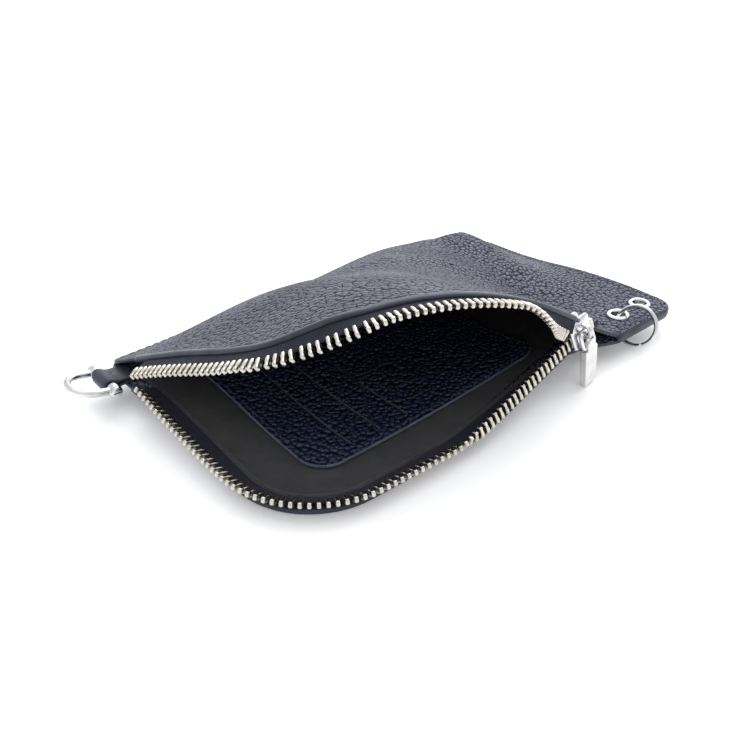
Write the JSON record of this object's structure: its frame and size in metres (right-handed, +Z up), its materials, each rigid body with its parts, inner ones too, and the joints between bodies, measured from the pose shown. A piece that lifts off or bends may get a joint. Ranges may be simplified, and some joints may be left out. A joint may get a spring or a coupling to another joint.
{
  "type": "phone pouch",
  "caption": "Flat leather phone pouch lying open, with an L-shaped metal zip round one corner, a card panel inside, a strap ring on a corner and an eyelet tab with a key ring.",
  "frame": {"origin": "centre of the underside of the whole part, on the table", "axes": "+X along the long sides from the strap ring end to the eyelet tab end, +Y from the zipped long side to the closed long side, +Z up"},
  "size_m": [0.1958, 0.1088, 0.0524],
  "materials": {
    "grained_leather": "pebbled navy leather, half matt",
    "smooth_leather": "smooth navy leather, satin",
    "edge_core": "painted leather edge",
    "lining": "charcoal woven lining",
    "zip_tape": "navy twill tape",
    "nickel": "nickel-plated teeth",
    "polished_metal": "polished plating"
  },
  "bodies": {
    "pouch": {"bottom_leather": "grained_leather", "bottom_lining": "lining", "seam_core": "edge_core", "card_pocket": "lining", "card_panel": "grained_leather", "front_leather_rear": "grained_leather", "front_lining_rear": "lining", "lower_zip_tape": "zip_tape", "lower_zip_teeth": "nickel", "lower_edge_binding": "smooth_leather", "zip_stop": "nickel", "strap_loop": "smooth_leather", "eyelets": "polished_metal", "eyelet_washers": "polished_metal"},
    "front_flap": {"front_leather_flap": "grained_leather", "front_lining_flap": "lining", "front_binding": "smooth_leather", "upper_zip_tape": "zip_tape", "upper_zip_teeth": "nickel", "upper_zip_end_tape": "zip_tape", "upper_zip_end_teeth": "nickel"},
    "slider": {"slider_body": "polished_metal", "slider_bail": "polished_metal"},
    "pull_link": {"pull_link": "polished_metal"},
    "pull_bar": {"pull_bar": "polished_metal"},
    "strap_ring": {"strap_ring": "polished_metal", "ring_pin": "polished_metal"},
    "key_ring": {"key_ring": "polished_metal"}
  },
  "joints": [
    {"name": "flap_hinge", "type": "hinge", "parent": "pouch", "child": "front_flap", "pos_m": [-0.07688, 0.03167, 0.015], "axis": [0.789, -0.6094, 0.0781], "range_deg": [0, 28]},
    {"name": "zip_slide", "type": "slide", "parent": "pouch", "child": "slider", "axis": [-0.9719, -0.1187, -0.2031], "range_m": [0, 0.03], "deforming": ["upper_zip_end_tape", "upper_zip_end_teeth"]},
    {"name": "link_hinge", "type": "hinge", "parent": "slider", "child": "pull_link", "pos_m": [0.03838, -0.04842, 0.02097], "axis": [-0.9719, -0.1187, -0.2031], "range_deg": [0, 120]},
    {"name": "bar_hinge", "type": "hinge", "parent": "pull_link", "child": "pull_bar", "pos_m": [0.03957, -0.04982, 0.0161], "axis": [-0.9719, -0.1187, -0.2031], "range_deg": [-5, 15]},
    {"name": "strap_ring_hinge", "type": "hinge", "parent": "pouch", "child": "strap_ring", "pos_m": [-0.08508, 0.04517, 0.00825], "axis": [0, 1, 0], "range_deg": [-40, 90]},
    {"name": "key_ring_hinge", "type": "hinge", "parent": "pouch", "child": "key_ring", "pos_m": [0.07348, -0.03786, 0.00836], "axis": [-0.0193, 0.0336, 0.9992], "range_deg": [-45, 15]}
  ]
}
